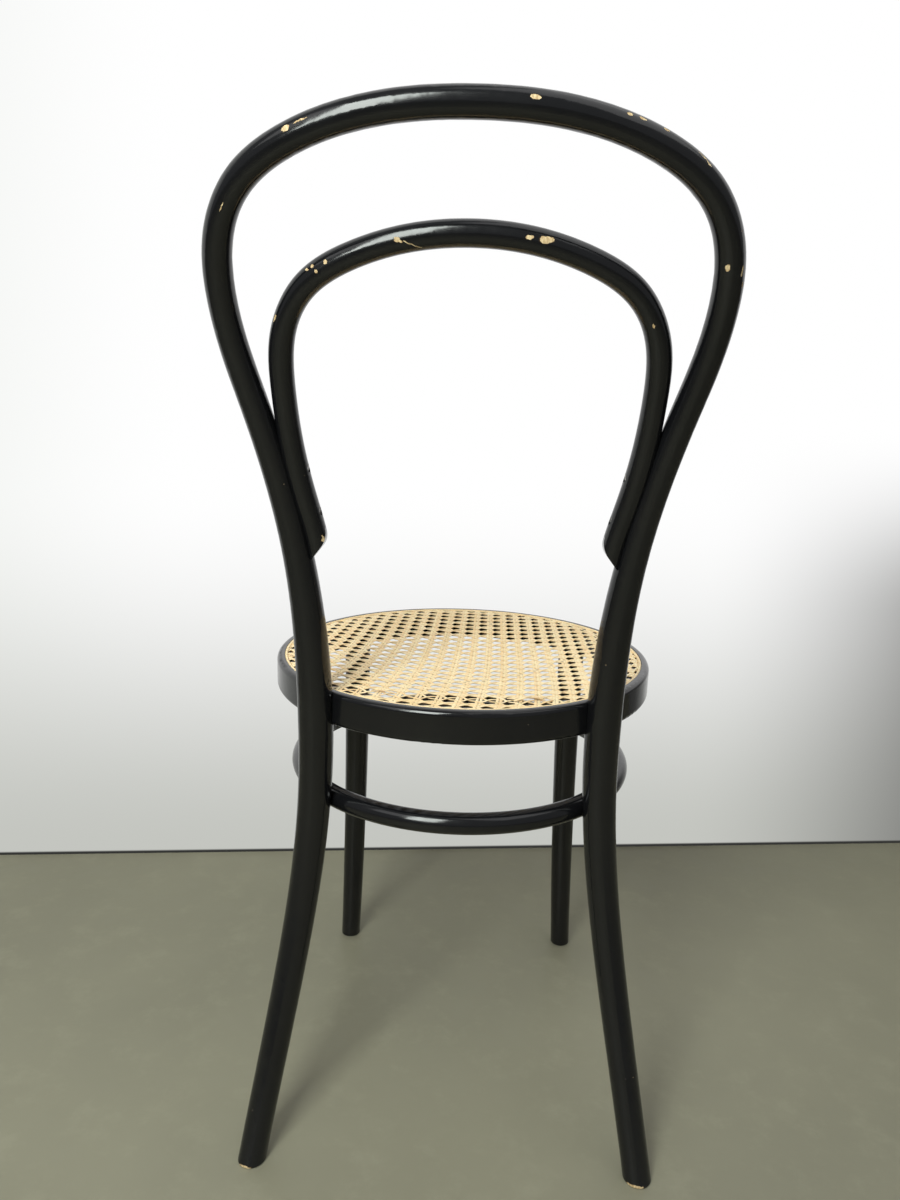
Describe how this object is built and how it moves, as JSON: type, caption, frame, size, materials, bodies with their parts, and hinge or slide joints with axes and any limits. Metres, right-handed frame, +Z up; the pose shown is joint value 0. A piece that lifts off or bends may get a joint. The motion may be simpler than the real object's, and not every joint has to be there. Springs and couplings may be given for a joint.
{
  "type": "bentwood bistro chair",
  "caption": "Bentwood chair with a hooped back, round cane seat, splayed legs and a bracing ring under the seat.",
  "frame": {"origin": "on the floor, below the middle of the chair's bounding box", "axes": "+Z up, the chair faces -Y, +X to the right as seen from its front"},
  "size_m": [0.406, 0.5334, 0.9383],
  "materials": {
    "black_lacquer": "satin black lacquer over bent beech, chipped to bare wood at edges",
    "cane": "natural rattan cane, straw coloured, light sheen",
    "cane_binding": "natural rattan reed spline, light sheen",
    "steel": "dull zinc-plated steel, slightly tarnished"
  },
  "bodies": {
    "root": {"back_frame": "black_lacquer", "inner_back_hoop": "black_lacquer", "seat_ring": "black_lacquer", "cane_seat": "cane", "cane_spline": "cane_binding", "front_leg_left": "black_lacquer", "front_leg_right": "black_lacquer", "leg_ring": "black_lacquer", "seat_bolts": "steel", "seat_bolt_washers": "steel", "leg_insert_nuts": "steel", "leg_ring_screws": "steel", "inner_hoop_screws": "steel"}
  },
  "joints": []
}
